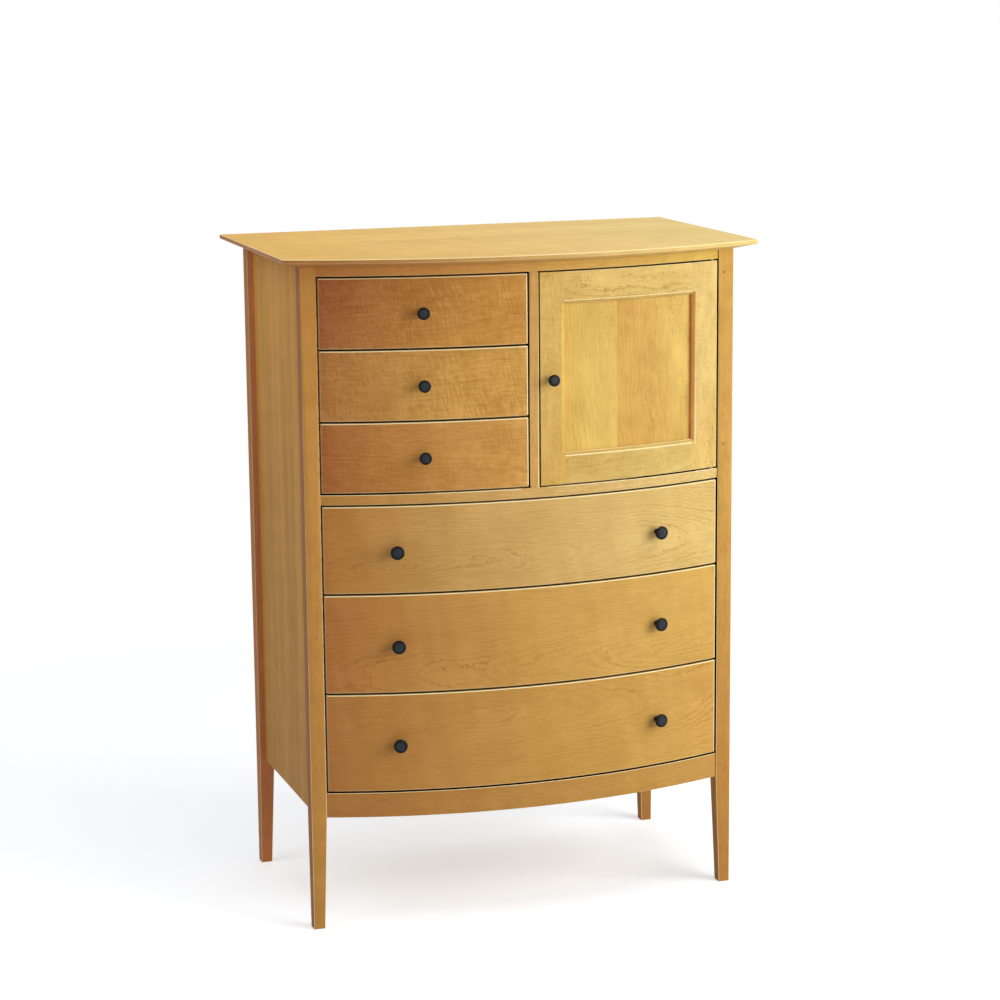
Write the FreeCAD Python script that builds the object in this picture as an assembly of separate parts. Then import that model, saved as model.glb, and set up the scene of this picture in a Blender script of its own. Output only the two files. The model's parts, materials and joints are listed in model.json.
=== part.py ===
import FreeCAD, Part
import math
import os

# A bow-fronted dresser on tapered legs: three small drawers beside a cupboard, over three wide drawers.
# Sizes are in millimetres. While it is built, X runs right, Y back and Z up, with zero at the middle
# of the posts' front faces on the floor. The last section moves it to the middle of its own bounds.

# Case
case_width = 879.0            # over the outer faces of the posts
case_depth = 463.0            # over the front and rear faces of the posts
post_side = 31.0
foot_side = 23.0              # the legs taper to this on their two inner faces
leg_height = 225.0            # floor to the apron's lower edge, where the taper starts
front_bow = 72.0              # rise of the front's arc between the posts
front_set_back = 2.0          # the arc's ends lie this far behind the posts' front faces
reveal = 2.75                 # gap round each drawer front and the door

# Heights of what the front shows
apron_height = 49.5
wide_drawer_heights = (171.0, 194.0, 194.0)   # top to bottom
small_drawer_height = 135.5
small_drawer_count = 3
mid_rail_height = 20.0
top_rail_height = 19.0

# Top
top_edge_height = 8.0         # upright edge above the bevel
top_bevel_height = 11.0
top_front_bevel = 45.0        # width of the bevel under the front edge
top_side_bevel = 39.0
top_side_overhang = 40.2
top_front_overhang = 29.1     # at the front corners, before the arc
top_back_overhang = 34.2
top_bow = 105.0               # rise of the top's front arc between its corners

# Boards and rails of the case
side_panel_thickness = 18.0
tongue_length = 7.0           # side panels run into the posts by this
tongue_thickness = 6.0
housing_depth = 6.0           # deck and bottom board run into the side panels by this
rail_back = 45.0              # top and mid rails reach this far behind the posts' front faces
rail_tenon_length = 16.0
rail_tenon_front = 8.0
rail_tenon_thickness = 14.0
rail_tenon_shoulder = 3.0
apron_thickness = 22.0
apron_tenon_thickness = 12.0
bottom_board_thickness = 12.0
bottom_board_drop = 6.0       # its upper face lies below the apron's upper edge by this
divider_width = 19.0
divider_depth = 25.0

# Framed back
back_frame_thickness = 20.0
back_frame_inset = 3.0        # its rear face lies inside the posts' rear faces
back_rail_height = 60.0
back_muntin_width = 60.0
back_top_rail_height = 26.0
back_top_rail_depth = 45.0
back_panel_thickness = 8.0
back_groove_depth = 8.0

# Pegs and screws
peg_radius = 3.75
peg_length = 20.0
peg_proud = 0.5
peg_inset = 12.0              # from the post's inner face
left_apron_peg_rise = 37.0    # above the apron's lower edge
right_apron_peg_rise = 25.0
left_peg_drop = 257.5         # below the mid rail
right_peg_rise = 48.5         # above the mid rail
right_peg_drop = 26.0         # below the top rail
screw_length = 30.0
screw_radius = 2.0
screw_head_radius = 4.5
screw_head_height = 3.0
screw_play = 0.5              # round the shank where it passes through a rail
screw_inset = 15.0            # from the inner edges of the top rail and the back's top rail
screw_spacing_share = 0.34    # of the case's width, between neighbours

# Drawers
drawer_front_thickness = 20.0
drawer_side_thickness = 14.0
drawer_back_thickness = 12.0
drawer_bottom_thickness = 6.0
drawer_groove_depth = 6.0     # the bottom runs into the sides and the front by this
drawer_bottom_lift = 8.0      # from the sides' lower edge to the bottom
drawer_side_lift = 4.0        # sides start above the front's lower edge
drawer_side_drop = 10.0       # sides end below the front's upper edge
drawer_back_drop = 6.0        # the back ends below the sides' upper edge
drawer_back_gap = 10.0        # behind the drawer, to the framed back
tail_lap = 7.0                # wood left in front of the tails
tail_pitch = 31.0
tail_width_share = 0.7
tail_slope_share = 1 / 7

# Runners
runner_height = 12.0
runner_groove_depth = 9.0
runner_clearance = 0.3
runner_front = 36.0
runner_end_gap = 4.0          # from the runner's rear end to the rear post

# Door
door_thickness = 22.0
latch_stile_width = 50.5
hinge_stile_width = 59.0
door_top_rail_height = 62.5
door_bottom_rail_height = 61.5
door_bevel = 6.0              # along the frame's inner edges
door_panel_recess = 12.0
door_panel_thickness = 6.0
door_panel_groove = 7.0
door_panel_seam_share = 0.406  # where its two boards meet, from the latch stile
door_tenon_length = 30.0
door_tenon_recess = 7.0
door_tenon_thickness = 8.0
door_tenon_shoulder = 9.0
stop_width = 14.0
stop_depth = 12.0
stop_height = 240.0
stop_clearance = 0.3

# Knife hinges in the door's upper and lower edges
pivot_inset = 10.0            # from the door's hinge edge
pivot_depth = 6.0             # behind the door's face
leaf_length = 40.0            # from the pivot
leaf_width = 8.0
leaf_thickness = 2.5
pin_radius = 2.0
pin_clearance = 0.05
washer_radius = 3.4
washer_clearance = 0.2

# Ball catch in the door's lower edge
catch_radius = 3.5
catch_length = 12.0
catch_inset = 24.0            # from the latch edge
catch_depth = 11.0            # behind the door's face
ball_radius = 2.4
ball_clearance = 0.3

# Shelf in the cupboard
shelf_thickness = 16.0
shelf_side_gap = 0.5
shelf_height_share = 0.5      # of the cupboard
shelf_pin_radius = 3.0
shelf_pin_depth = 9.0
shelf_pin_reach = 8.0
shelf_pin_end_distance = 45.0

# Knobs: turned, with a spigot in the wood behind
wide_knob_radius = 13.5
small_knob_radius = 12.0
door_knob_radius = 11.5
knob_length = 22.0
spigot_radius = 4.0
spigot_length = 14.0
small_knob_shift = 6.0        # from the front's middle, to the left
wide_knob_offset = 266.0      # from the pair's middle to each side
wide_knob_shift = 3.5         # of the pair's middle, to the left
wide_knob_drop = 2.5          # below the front's middle
door_knob_inset = 21.5        # from the latch edge
knob_base_share = 0.42        # radii as shares of the head's radius
knob_neck_share = 0.38
knob_shoulder_share = 0.92
knob_face_share = 0.8
knob_neck_at_share = 0.3      # places as shares of the knob's length
knob_shoulder_at_share = 0.62
knob_rim_at_share = 0.8

# Places that follow from the sizes
overrun = 5.0                 # how far cuts run past the wood
outer_x = case_width / 2
inner_x = outer_x - post_side
front_radius = (inner_x ** 2 + front_bow ** 2) / (2 * front_bow)
arc_centre_y = front_set_back - front_bow + front_radius
rear_post_y = case_depth - post_side
panel_outer_x = inner_x + side_panel_thickness
frame_rear_y = case_depth - back_frame_inset
frame_front_y = frame_rear_y - back_frame_thickness
back_top_rail_front = frame_rear_y - back_top_rail_depth
drawer_rear_y = frame_front_y - drawer_back_gap
partition_x = divider_width / 2
partition_front_y = front_set_back - front_bow + divider_depth
apron_top = leg_height + apron_height
small_drawer_x = (-inner_x + reveal, -partition_x - reveal)
wide_drawer_x = (-inner_x + reveal, inner_x - reveal)
door_x = (partition_x + reveal, inner_x - reveal)


def stack_heights():
    """Lower edges of the wide drawers, the mid rail, the small drawers and the top rail."""
    level = apron_top + reveal
    wide = []
    for height in reversed(wide_drawer_heights):
        wide.insert(0, level)
        level += height + reveal
    mid_rail = level
    level += mid_rail_height + reveal
    small = []
    for _ in range(small_drawer_count):
        small.insert(0, level)
        level += small_drawer_height + reveal
    return wide, mid_rail, small, level


wide_levels, mid_rail_z, small_levels, top_rail_z = stack_heights()
mid_rail_top = mid_rail_z + mid_rail_height
case_height = top_rail_z + top_rail_height
door_z = (mid_rail_top + reveal, top_rail_z - reveal)
back_top_rail_z = case_height - back_top_rail_height
back_mid_rail_z = mid_rail_z + (mid_rail_height - back_rail_height) / 2
screw_ys = (rail_back - screw_inset, back_top_rail_front + screw_inset)
left_peg_heights = (leg_height + left_apron_peg_rise, mid_rail_z - left_peg_drop)
right_peg_heights = (leg_height + right_apron_peg_rise, mid_rail_top + right_peg_rise,
                     top_rail_z - right_peg_drop)


def vector(x, y, z):
    return FreeCAD.Vector(x, y, z)


def box(xs, ys, zs):
    """Block between two places along each direction."""
    size = (xs[1] - xs[0], ys[1] - ys[0], zs[1] - zs[0])
    return Part.makeBox(*size, vector(xs[0], ys[0], zs[0]))


def prism(points, run):
    """Solid with a polygon for its end."""
    return Part.Face(Part.makePolygon(points + points[:1])).extrude(run)


def profile_yz(points, xs):
    """Solid with the same YZ outline from one X to another."""
    corners = [vector(xs[0], y, z) for y, z in points]
    return prism(corners, vector(xs[1] - xs[0], 0, 0))


def cylinder(radius, length, start, direction):
    return Part.makeCylinder(radius, length, start, direction)


def joined(shapes):
    whole = shapes[0]
    for shape in shapes[1:]:
        whole = whole.fuse(shape)
    return whole.removeSplitter()


def without(shape, cutters):
    for cutter in cutters:
        shape = shape.cut(cutter)
    return shape


def group(shapes):
    return Part.makeCompound(shapes)


def mirrored(shape):
    """The same piece on the other side of the dresser."""
    return shape.mirror(vector(0, 0, 0), vector(1, 0, 0))


def front_y(x, depth=0):
    """Y of the bowed front at x, or of the parallel arc this deep behind it."""
    return arc_centre_y - math.sqrt((front_radius - depth) ** 2 - x ** 2)


def front_normal(x):
    """Outward direction of the bowed front at x."""
    return vector(x, front_y(x) - arc_centre_y, 0).normalize()


def arc_edge(xs, depth, z):
    middle = (xs[0] + xs[1]) / 2
    points = [vector(x, front_y(x, depth), z) for x in (xs[0], middle, xs[1])]
    return Part.Arc(*points).toShape()


def line_edge(start, end):
    return Part.makeLine(start, end)


def curved_board(xs, zs, depths):
    """Board that follows the bowed front between two depths behind its face."""
    corners = [[vector(x, front_y(x, depth), zs[0]) for x in xs] for depth in depths]
    front, rear = corners
    edges = [arc_edge(xs, depths[0], zs[0]), line_edge(front[1], rear[1]),
             arc_edge(xs, depths[1], zs[0]), line_edge(rear[0], front[0])]
    outline = Part.Wire(Part.__sortEdges__(edges))
    return Part.Face(outline).extrude(vector(0, 0, zs[1] - zs[0]))


def bowed_board(xs, zs, back_y, depth=0):
    """Board with a bowed front edge and a straight back edge."""
    front = [vector(x, front_y(x, depth), zs[0]) for x in xs]
    rear = [vector(x, back_y, zs[0]) for x in xs]
    edges = [arc_edge(xs, depth, zs[0]), line_edge(front[1], rear[1]),
             line_edge(rear[1], rear[0]), line_edge(rear[0], front[0])]
    outline = Part.Wire(Part.__sortEdges__(edges))
    return Part.Face(outline).extrude(vector(0, 0, zs[1] - zs[0]))


def top_outline(side_inset, front_inset, z):
    """Plan of the top: straight back and sides, and an arc in front."""
    half = outer_x + top_side_overhang
    radius = (half ** 2 + top_bow ** 2) / (2 * top_bow) - front_inset
    centre_y = radius + front_inset - top_front_overhang - top_bow
    x = half - side_inset
    corner_y = centre_y - math.sqrt(radius ** 2 - x ** 2)
    back_y = case_depth + top_back_overhang
    corners = [vector(-x, corner_y, z), vector(x, corner_y, z), vector(x, back_y, z), vector(-x, back_y, z)]
    bow = Part.Arc(corners[0], vector(0, centre_y - radius, z), corners[1]).toShape()
    straight = [line_edge(corners[i], corners[(i + 1) % 4]) for i in (1, 2, 3)]
    return Part.Wire([bow] + straight)


def make_top():
    """Slab with an upright edge over a wide bevel at the front and the sides."""
    edge_z = case_height + top_bevel_height
    slab = Part.Face(top_outline(0, 0, edge_z)).extrude(vector(0, 0, top_edge_height))
    bevel = Part.makeLoft([top_outline(top_side_bevel, top_front_bevel, case_height),
                           top_outline(0, 0, edge_z)], True, True)
    return joined([slab, bevel])


def make_post(rear):
    """Right-hand post, square above and tapered on its two inner faces below the apron."""
    ys = (rear_post_y, case_depth) if rear else (0, post_side)
    inner_y, foot_y = (ys[0], ys[1] - foot_side) if rear else (ys[1], foot_side)
    post = box((inner_x, outer_x), ys, (0, case_height))
    foot_x = outer_x - foot_side
    side_wedge = [vector(inner_x, ys[0], leg_height), vector(inner_x, ys[0], 0), vector(foot_x, ys[0], 0)]
    depth_wedge = [vector(inner_x, inner_y, leg_height), vector(inner_x, inner_y, 0),
                   vector(inner_x, foot_y, 0)]
    return without(post, [prism(side_wedge, vector(0, post_side, 0)),
                          prism(depth_wedge, vector(post_side, 0, 0))])


def make_side_panel():
    """Right-hand side panel with its two tongues."""
    zs = (leg_height, case_height)
    middle_x = inner_x + side_panel_thickness / 2
    tongue_xs = (middle_x - tongue_thickness / 2, middle_x + tongue_thickness / 2)
    board = box((inner_x, panel_outer_x), (post_side, rear_post_y), zs)
    tongues = box(tongue_xs, (post_side - tongue_length, rear_post_y + tongue_length), zs)
    return joined([board, tongues])


def tenon_pair(zs, thickness, shoulder, front, length):
    """Tenons beyond both ends of a rail that stands between the posts."""
    return [box(xs, (front, front + thickness), (zs[0] + shoulder, zs[1] - shoulder))
            for xs in ((-inner_x - length, -inner_x), (inner_x, inner_x + length))]


def make_front_rail(z, height):
    """Flat rail with a bowed front edge, tenoned into the front posts."""
    zs = (z, z + height)
    tenons = tenon_pair(zs, rail_tenon_thickness, rail_tenon_shoulder, rail_tenon_front, rail_tenon_length)
    return joined([bowed_board((-inner_x, inner_x), zs, rail_back)] + tenons)


def make_apron():
    zs = (leg_height, apron_top)
    tenons = tenon_pair(zs, apron_tenon_thickness, rail_tenon_shoulder, rail_tenon_front, rail_tenon_length)
    return joined([curved_board((-inner_x, inner_x), zs, (0, apron_thickness))] + tenons)


def make_divider():
    return bowed_board((-partition_x, partition_x), (mid_rail_top, top_rail_z), partition_front_y)


def make_partition():
    """Board behind the divider, notched round the top rails."""
    outline = [(partition_front_y, mid_rail_top), (frame_front_y, mid_rail_top),
               (frame_front_y, back_top_rail_z), (back_top_rail_front, back_top_rail_z),
               (back_top_rail_front, case_height), (rail_back, case_height),
               (rail_back, top_rail_z), (partition_front_y, top_rail_z)]
    return profile_yz(outline, (-partition_x, partition_x))


def make_deck():
    """Floor of the upper part, level with the mid rail and housed in the side panels."""
    zs = (mid_rail_z, mid_rail_top)
    reach = inner_x + housing_depth
    board = box((-inner_x, inner_x), (rail_back, frame_front_y), zs)
    return joined([board, box((-reach, reach), (rail_back, rear_post_y), zs)])


def make_bottom_board():
    """Dust board behind the apron."""
    top_z = apron_top - bottom_board_drop
    zs = (top_z - bottom_board_thickness, top_z)
    reach = inner_x + housing_depth
    board = bowed_board((-inner_x, inner_x), zs, frame_front_y, apron_thickness)
    housed = box((-reach, reach), (post_side, rear_post_y), zs)
    return joined([board, housed])


def back_bays():
    """Spans across and up of the four panels in the framed back."""
    across = [(-inner_x, -back_muntin_width / 2), (back_muntin_width / 2, inner_x)]
    up = [(leg_height + back_rail_height, back_mid_rail_z),
          (back_mid_rail_z + back_rail_height, back_top_rail_z)]
    return across, up


def make_back_panels():
    middle = frame_front_y + back_frame_thickness / 2
    ys = (middle - back_panel_thickness / 2, middle + back_panel_thickness / 2)
    across, up = back_bays()
    return [box((x0 - back_groove_depth, x1 + back_groove_depth), ys,
                (z0 - back_groove_depth, z1 + back_groove_depth)) for x0, x1 in across for z0, z1 in up]


def make_back_frame():
    """Three rails tenoned into the rear posts, and two muntins between them."""
    tenon_front = frame_front_y + (back_frame_thickness - apron_tenon_thickness) / 2
    rails = []
    for z in (leg_height, back_mid_rail_z):
        zs = (z, z + back_rail_height)
        tenons = tenon_pair(zs, apron_tenon_thickness, back_groove_depth, tenon_front, rail_tenon_length)
        rails.append(joined([box((-inner_x, inner_x), (frame_front_y, frame_rear_y), zs)] + tenons))
    zs = (back_top_rail_z, case_height)
    tenons = tenon_pair((back_top_rail_z + rail_tenon_shoulder, case_height), apron_tenon_thickness,
                        back_groove_depth, tenon_front, rail_tenon_length)
    rails.append(joined([box((-inner_x, inner_x), (back_top_rail_front, frame_rear_y), zs)] + tenons))
    half = back_muntin_width / 2
    middle = frame_front_y + back_frame_thickness / 2
    stub_ys = (middle - back_panel_thickness / 2, middle + back_panel_thickness / 2)
    muntins = []
    for z0, z1 in back_bays()[1]:
        stub_zs = (z0 - back_groove_depth, z1 + back_groove_depth)
        muntins.append(joined([box((-half, half), (frame_front_y, frame_rear_y), (z0, z1)),
                               box((-half, half), stub_ys, stub_zs)]))
    return [without(rail, muntins) for rail in rails] + muntins


def make_pegs():
    start_y = -peg_proud
    places = [(-inner_x - peg_inset, z) for z in left_peg_heights]
    places += [(inner_x + peg_inset, z) for z in right_peg_heights]
    return [cylinder(peg_radius, peg_length + peg_proud, vector(x, start_y, z), vector(0, 1, 0))
            for x, z in places]


def screw_places():
    step = case_width * screw_spacing_share
    return [vector(x, y, top_rail_z) for y in screw_ys for x in (-step, 0, step)]


def make_screws():
    """Screws that hold the top from below."""
    up = vector(0, 0, 1)
    screws = []
    for place in screw_places():
        head = cylinder(screw_head_radius, screw_head_height, place, up)
        screws.append(joined([head, cylinder(screw_radius, screw_length, place, up)]))
    return screws


def screw_passages():
    """Clearance for the shanks and counterbores for the heads."""
    up = vector(0, 0, 1)
    cuts = []
    for place in screw_places():
        foot = vector(place.x, place.y, back_top_rail_z - overrun)
        bore_height = top_rail_z + screw_head_height - foot.z
        cuts.append(cylinder(screw_head_radius, bore_height, foot, up))
        cuts.append(cylinder(screw_radius + screw_play, top_rail_height, place, up))
    return cuts


def tail_prisms(xs, zs, wide_y, narrow_y):
    """Dovetails through one side, widest at one end."""
    count = max(2, round((zs[1] - zs[0]) / tail_pitch))
    pitch = (zs[1] - zs[0]) / count
    wide = pitch * tail_width_share / 2
    narrow = wide - abs(narrow_y - wide_y) * tail_slope_share
    middles = [zs[0] + pitch * (i + 1 / 2) for i in range(count)]
    return [profile_yz([(wide_y, z - wide), (wide_y, z + wide), (narrow_y, z + narrow),
                        (narrow_y, z - narrow)], xs) for z in middles]


def drawer_levels(z, height):
    """Heights of a drawer's sides, bottom and back."""
    sides = (z + drawer_side_lift, z + height - drawer_side_drop)
    bottom = (sides[0] + drawer_bottom_lift, sides[0] + drawer_bottom_lift + drawer_bottom_thickness)
    back = (bottom[1], sides[1] - drawer_back_drop)
    return sides, bottom, back


def runner_span(z, height):
    sides = drawer_levels(z, height)[0]
    middle = (sides[0] + sides[1]) / 2
    return middle - runner_height / 2, middle + runner_height / 2


def make_drawer(xs, z, height):
    """Front, two sides, back and bottom, dovetailed at the corners and grooved for the runners."""
    side_zs, bottom_zs, back_zs = drawer_levels(z, height)
    front = curved_board(xs, (z, z + height), (0, drawer_front_thickness))
    back = box(xs, (drawer_rear_y - drawer_back_thickness, drawer_rear_y), back_zs)
    groove_xs = (xs[0] + drawer_side_thickness - drawer_groove_depth,
                 xs[1] - drawer_side_thickness + drawer_groove_depth)
    bottom = bowed_board(groove_xs, bottom_zs, drawer_rear_y, drawer_front_thickness - drawer_groove_depth)
    run_z0, run_z1 = runner_span(z, height)
    groove_zs = (run_z0 - runner_clearance, run_z1 + runner_clearance)
    groove_ys = (runner_front - runner_clearance, drawer_rear_y + overrun)
    boards = []
    for edge, inward in ((xs[0], 1), (xs[1], -1)):
        span = sorted((edge, edge + inward * drawer_side_thickness))
        groove_span = sorted((edge - inward * overrun, edge + inward * runner_groove_depth))
        groove = box(groove_span, groove_ys, groove_zs)
        tail_y = max(front_y(x) for x in span) + tail_lap
        front = without(front, tail_prisms(span, side_zs, tail_y, tail_y + drawer_front_thickness))
        back = without(back, tail_prisms(span, back_zs, drawer_rear_y,
                                         drawer_rear_y - drawer_back_thickness) + [groove])
        boards.append((box(span, (tail_y, drawer_rear_y), side_zs), groove))
    front = front.cut(bottom)
    sides = [without(board, [front, back, bottom, groove]) for board, groove in boards]
    return front, sides, back, bottom


def make_runners():
    """Strips on the case that fit the grooves in the drawers' sides."""
    reach = reveal + runner_groove_depth - runner_clearance
    ys = (runner_front, rear_post_y - runner_end_gap)
    runners = []
    for levels, heights, right in ((small_levels, [small_drawer_height] * small_drawer_count, -partition_x),
                                   (wide_levels, wide_drawer_heights, inner_x)):
        for z, height in zip(levels, heights):
            zs = runner_span(z, height)
            runners.append(box((-inner_x, -inner_x + reach), ys, zs))
            runners.append(box((right - reach, right), ys, zs))
    return runners


def make_knob(radius, x, z):
    """Turned knob whose axis stands square to the bowed front at x."""
    neck = (radius * knob_neck_share, knob_length * knob_neck_at_share)
    shoulder = (radius * knob_shoulder_share, knob_length * knob_shoulder_at_share)
    rim = (radius, knob_length * knob_rim_at_share)
    face = (radius * knob_face_share, knob_length)
    base = (radius * knob_base_share, 0)

    def at(point):
        return vector(point[0], 0, point[1])

    foot = [at(p) for p in ((0, -spigot_length), (spigot_radius, -spigot_length), (spigot_radius, 0), base)]
    edges = [line_edge(foot[i], foot[i + 1]) for i in range(3)]
    edges.append(Part.Arc(at(base), at(neck), at(shoulder)).toShape())
    edges.append(Part.Arc(at(shoulder), at(rim), at(face)).toShape())
    edges.append(line_edge(at(face), at((0, knob_length))))
    edges.append(line_edge(at((0, knob_length)), foot[0]))
    knob = Part.Face(Part.Wire(edges)).revolve(vector(0, 0, 0), vector(0, 0, 1), 360)
    turn = FreeCAD.Rotation(vector(0, 0, 1), front_normal(x))
    knob.Placement = FreeCAD.Placement(vector(x, front_y(x), z), turn)
    return knob


def spigot_hole(x, z):
    inward = front_normal(x).multiply(-1)
    start = vector(x, front_y(x), z) - inward * overrun
    return cylinder(spigot_radius, spigot_length + overrun, start, inward)


def door_edges():
    """Where the stiles and rails meet the door's panel."""
    return ((door_x[0] + latch_stile_width, door_x[1] - hinge_stile_width),
            (door_z[0] + door_bottom_rail_height, door_z[1] - door_top_rail_height))


def rail_bevel(zs):
    """Cutter along the bowed edge of a door rail, from its inner edge to the far side of the bevel."""
    x0, x1 = (edge + shift for edge, shift in zip(door_edges()[0], (-door_bevel, door_bevel)))
    axis = vector(0, arc_centre_y, 0)
    outer = front_radius + overrun
    profile = ((front_radius - door_bevel, zs[0]), (front_radius, zs[1]), (outer, zs[1]), (outer, zs[0]))
    corners = [axis + front_normal(x0) * radius + vector(0, 0, z) for radius, z in profile]
    swing = math.degrees(math.asin(x1 / front_radius) - math.asin(x0 / front_radius))
    return Part.Face(Part.makePolygon(corners + corners[:1])).revolve(axis, vector(0, 0, 1), swing)


def stile_bevel(xs):
    """Cutter along the edge of a door stile, from its inner edge to the far side of the bevel."""
    profile = ((xs[0], front_y(xs[0], door_bevel)), (xs[1], front_y(xs[1])),
               (xs[1], front_y(xs[1]) - overrun), (xs[0], front_y(xs[0]) - overrun))
    return prism([vector(x, y, door_z[0]) for x, y in profile], vector(0, 0, door_z[1] - door_z[0]))


def door_bevels():
    """Cutters for the bevel round the door's panel, mitred at the corners."""
    (x0, x1), (z0, z1) = door_edges()
    inner = [(x0, z0), (x1, z0), (x1, z1), (x0, z1)]
    outer = [(x0 - door_bevel, z0 - door_bevel), (x1 + door_bevel, z0 - door_bevel),
             (x1 + door_bevel, z1 + door_bevel), (x0 - door_bevel, z1 + door_bevel)]
    wedges = [rail_bevel((z0, z0 - door_bevel)), stile_bevel((x1, x1 + door_bevel)),
              rail_bevel((z1, z1 + door_bevel)), stile_bevel((x0, x0 - door_bevel))]
    cutters = []
    for i, wedge in enumerate(wedges):
        j = (i + 1) % len(wedges)
        corners = [vector(x, -front_bow, z) for x, z in (inner[i], inner[j], outer[j], outer[i])]
        cutters.append(wedge.common(prism(corners, vector(0, front_bow + post_side, 0))))
    return cutters


def make_door():
    """Two stiles, two rails and a panel of two boards, all curved like the front."""
    depths = (0, door_thickness)
    (px0, px1), (pz0, pz1) = door_edges()
    latch_stile = curved_board((door_x[0], px0), door_z, depths)
    hinge_stile = curved_board((px1, door_x[1]), door_z, depths)
    tenon_depths = (door_tenon_recess, door_tenon_recess + door_tenon_thickness)
    rails = []
    for zs in ((pz1, door_z[1]), (door_z[0], pz0)):
        tenon_zs = (zs[0] + door_tenon_shoulder, zs[1] - door_tenon_shoulder)
        tenon = curved_board((px0 - door_tenon_length, px1 + door_tenon_length), tenon_zs, tenon_depths)
        rails.append(joined([curved_board((px0, px1), zs, depths), tenon]))
    seam = px0 + (px1 - px0) * door_panel_seam_share
    panel_depths = (door_panel_recess, door_panel_recess + door_panel_thickness)
    panel_zs = (pz0 - door_panel_groove, pz1 + door_panel_groove)
    boards = [curved_board((px0 - door_panel_groove, seam), panel_zs, panel_depths),
              curved_board((seam, px1 + door_panel_groove), panel_zs, panel_depths)]
    rails = [without(rail, boards) for rail in rails]
    bevels = door_bevels()
    latch_stile = without(latch_stile, boards + rails + bevels)
    hinge_stile = without(hinge_stile, boards + rails + bevels)
    rails = [without(rail, bevels) for rail in rails]
    return latch_stile, hinge_stile, rails, boards


def pivot_place():
    x = door_x[1] - pivot_inset
    return x, front_y(x, pivot_depth)


def make_leaf(z, thickness):
    """Hinge leaf: a flat bar with a round end about the pivot, laid along the front's arc."""
    x, y = pivot_place()
    bar = box((-leaf_length, 0), (-leaf_width / 2, leaf_width / 2), (0, thickness))
    leaf = joined([bar, cylinder(leaf_width / 2, thickness, vector(0, 0, 0), vector(0, 0, 1))])
    turn = FreeCAD.Rotation(vector(0, 0, 1), math.degrees(math.asin(x / front_radius)))
    leaf.Placement = FreeCAD.Placement(vector(x, y, z), turn)
    return leaf


def make_case_leaves():
    """Leaves let into the rails, each with its pin, and a washer that carries the door."""
    x, y = pivot_place()
    up = vector(0, 0, 1)
    pin_length = reveal + leaf_thickness
    upper = joined([make_leaf(top_rail_z, leaf_thickness),
                    cylinder(pin_radius, pin_length, vector(x, y, top_rail_z - pin_length), up)])
    lower = joined([make_leaf(mid_rail_top - leaf_thickness, leaf_thickness),
                    cylinder(pin_radius, pin_length, vector(x, y, mid_rail_top), up),
                    cylinder(washer_radius, reveal - washer_clearance, vector(x, y, mid_rail_top), up)])
    return [upper, lower]


def pin_bores():
    x, y = pivot_place()
    return [cylinder(pin_radius + pin_clearance, leaf_thickness, vector(x, y, z), vector(0, 0, 1))
            for z in (door_z[0], door_z[1] - leaf_thickness)]


def make_door_leaves():
    """Leaves let into the door's edges, bored for the pins."""
    levels = (door_z[0], door_z[1] - leaf_thickness)
    return [make_leaf(z, leaf_thickness).cut(bore) for z, bore in zip(levels, pin_bores())]


def make_catch():
    """Barrel in the door's lower edge, with a ball that stands out below it."""
    x = door_x[0] + catch_inset
    y = front_y(x, catch_depth)
    barrel = cylinder(catch_radius, catch_length, vector(x, y, door_z[0]), vector(0, 0, 1))
    ball_z = door_z[0] - reveal + ball_clearance + ball_radius
    return joined([barrel, Part.makeSphere(ball_radius, vector(x, y, ball_z))])


def make_stop():
    """Strip on the partition that the door's latch stile closes against."""
    x = partition_x + stop_width
    y = front_y(x, door_thickness) + stop_clearance
    middle = (door_z[0] + door_z[1]) / 2
    return box((partition_x, x), (y, y + stop_depth), (middle - stop_height / 2, middle + stop_height / 2))


def make_shelf():
    z = mid_rail_top + (top_rail_z - mid_rail_top) * shelf_height_share
    xs = (partition_x + shelf_side_gap, inner_x - shelf_side_gap)
    return box(xs, (rail_back, frame_front_y - shelf_side_gap), (z, z + shelf_thickness))


def make_shelf_pins(shelf):
    bounds = shelf.BoundBox
    z = bounds.ZMin - shelf_pin_radius
    length = shelf_pin_depth + shelf_pin_reach
    pins = []
    for y in (bounds.YMin + shelf_pin_end_distance, bounds.YMax - shelf_pin_end_distance):
        for wall, inward in ((partition_x, 1), (inner_x, -1)):
            start = vector(wall - inward * shelf_pin_depth, y, z)
            pins.append(cylinder(shelf_pin_radius, length, start, vector(inward, 0, 0)))
    return pins


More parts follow.
